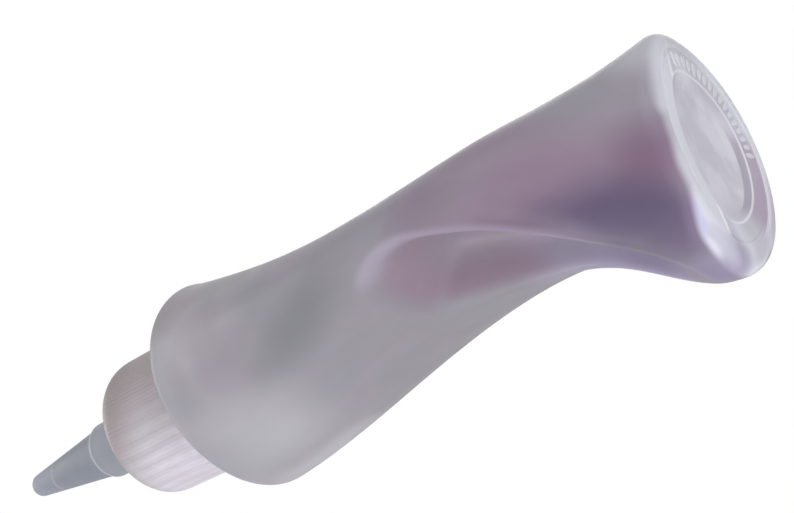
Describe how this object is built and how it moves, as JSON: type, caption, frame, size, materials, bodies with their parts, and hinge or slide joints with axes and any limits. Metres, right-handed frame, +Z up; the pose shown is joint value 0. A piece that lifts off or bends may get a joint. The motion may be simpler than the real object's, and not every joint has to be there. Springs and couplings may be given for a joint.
{
  "type": "squeeze bottle",
  "caption": "Translucent squeeze bottle held in a pinched shape, with a ribbed screw cap and a long stepped conical nozzle.",
  "frame": {"origin": "centre of the standing ring, on the plane that the bottle stands on", "axes": "+Z up the bottle's axis to the nozzle's tip; -Y towards the thumb's dent; +X towards the flatter, palm side of the squeeze"},
  "size_m": [0.0602, 0.0734, 0.2451],
  "materials": {
    "bottle_plastic": "frosted translucent, satin",
    "cap_plastic": "translucent, semi-gloss, finely ribbed",
    "nozzle_plastic": "translucent, satin"
  },
  "bodies": {
    "bottle": {"bottle": "bottle_plastic"},
    "nozzle": {"nozzle": "nozzle_plastic"},
    "cap": {"cap": "cap_plastic"}
  },
  "joints": [
    {"name": "nozzle_lift", "type": "slide", "parent": "bottle", "child": "nozzle", "axis": [0, 0, 1], "range_m": [0, 0.0057]},
    {"name": "cap_turn", "type": "hinge", "parent": "nozzle", "child": "cap", "pos_m": [0, 0, 0.185], "axis": [0, 0, 1], "range_deg": [0, 480]}
  ],
  "couplings": [
    {"joint": "nozzle_lift", "follows": "cap_turn", "m_per_rad": 0.0006732}
  ]
}
